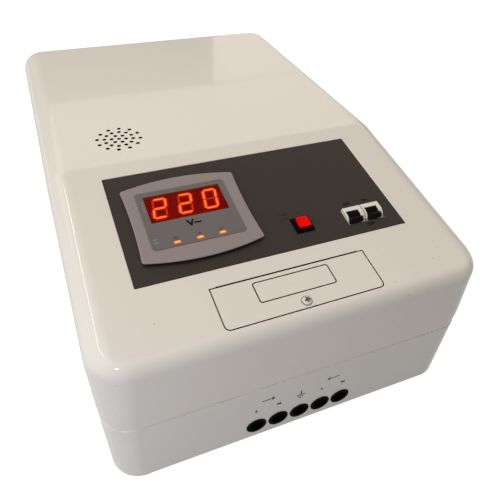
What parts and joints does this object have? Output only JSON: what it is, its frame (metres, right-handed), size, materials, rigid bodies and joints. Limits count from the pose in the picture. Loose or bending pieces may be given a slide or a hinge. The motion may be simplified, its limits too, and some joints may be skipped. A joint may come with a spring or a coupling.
{
  "type": "voltage stabilizer",
  "caption": "wall-mounted automatic voltage stabilizer in a two-part plastic casing with sloped control face, digital display, breakers, push button and terminal hatch",
  "frame": {"origin": "middle of the overall box at the back, which rests on z = 0 as in the picture", "axes": "+X to the right of the display, +Y from the cable entries to the far end (up on a wall), +Z out of the front face"},
  "size_m": [0.34, 0.5198, 0.187],
  "materials": {
    "casing": "glossy moulded, warm ivory",
    "casing_tray": "glossy moulded, ivory, slightly greyer",
    "panel": "satin, dark grey-brown",
    "bezel": "satin moulded, mauve-grey",
    "overlay": "satin printed film, grey",
    "filter": "clear red filter",
    "segment_lit": "glowing orange-red",
    "segment_dim": "unlit red",
    "lamp": "glowing orange lens",
    "black_plastic": "glossy black",
    "module_black": "matt dark potting",
    "cap": "glossy red",
    "breaker": "fine-textured ivory",
    "zinc": "bright zinc",
    "sheet_steel": "galvanised sheet",
    "rubber": "soft black rubber",
    "terminal_body": "black phenolic",
    "brass": "plain brass",
    "winding_wrap": "varnished amber film over the winding",
    "core": "taped silicon steel",
    "board": "green solder mask",
    "relay": "moulded black",
    "sleeve": "shrunk dark blue sleeve",
    "sensor": "moulded blue"
  },
  "bodies": {
    "casing": {"base_tray": "casing_tray", "front_cover": "casing", "control_panel": "panel", "display_bezel": "bezel", "display_face": "overlay", "display_window": "filter", "digit_module": "module_black", "lit_segments": "segment_lit", "unlit_segments": "segment_dim", "indicator_lenses": "lamp", "display_board": "board", "switch_body": "black_plastic", "left_breaker": "breaker", "right_breaker": "breaker", "breaker_rail": "zinc", "breaker_bracket": "sheet_steel", "bracket_screws": "zinc", "cable_grommet_1": "rubber", "cable_grommet_2": "rubber", "cable_grommet_3": "rubber", "cable_grommet_4": "rubber", "cable_grommet_5": "rubber", "terminal_block": "terminal_body", "terminal_clamps": "brass", "terminal_screws": "zinc", "block_screws": "zinc", "mounting_plate": "sheet_steel", "plate_screws": "zinc", "transformer_core": "core", "transformer_winding": "winding_wrap", "lower_pad": "rubber", "upper_pad": "rubber", "clamp_dish": "sheet_steel", "transformer_bolt": "zinc", "transformer_nut": "zinc", "board_standoffs": "brass", "relay_board": "board", "power_relays": "relay", "board_capacitors": "sleeve", "supply_transformer": "core", "current_sensor": "sensor", "processor_chip": "relay", "case_screws": "zinc"},
    "off_on_left": {"left_toggle": "black_plastic"},
    "off_on_right": {"right_toggle": "black_plastic"},
    "button": {"push_button": "cap"},
    "hatch": {"terminal_hatch": "casing", "hatch_screw": "zinc"}
  },
  "joints": [
    {"name": "left_toggle_hinge", "type": "hinge", "parent": "casing", "child": "off_on_left", "pos_m": [0.0776, -0.17285, 0.16294], "axis": [-1, 0, 0], "range_deg": [0, 50]},
    {"name": "right_toggle_hinge", "type": "hinge", "parent": "casing", "child": "off_on_right", "pos_m": [0.0966, -0.17285, 0.16294], "axis": [-1, 0, 0], "range_deg": [0, 50]},
    {"name": "button_press", "type": "slide", "parent": "casing", "child": "button", "axis": [0, 0.1642, -0.9864], "range_m": [0, 0.003], "stiffness_N_per_m": 400, "springref_m": -0.002},
    {"name": "hatch_lift", "type": "slide", "parent": "casing", "child": "hatch", "axis": [0, -0.1642, 0.9864], "range_m": [0, 0.02]}
  ]
}
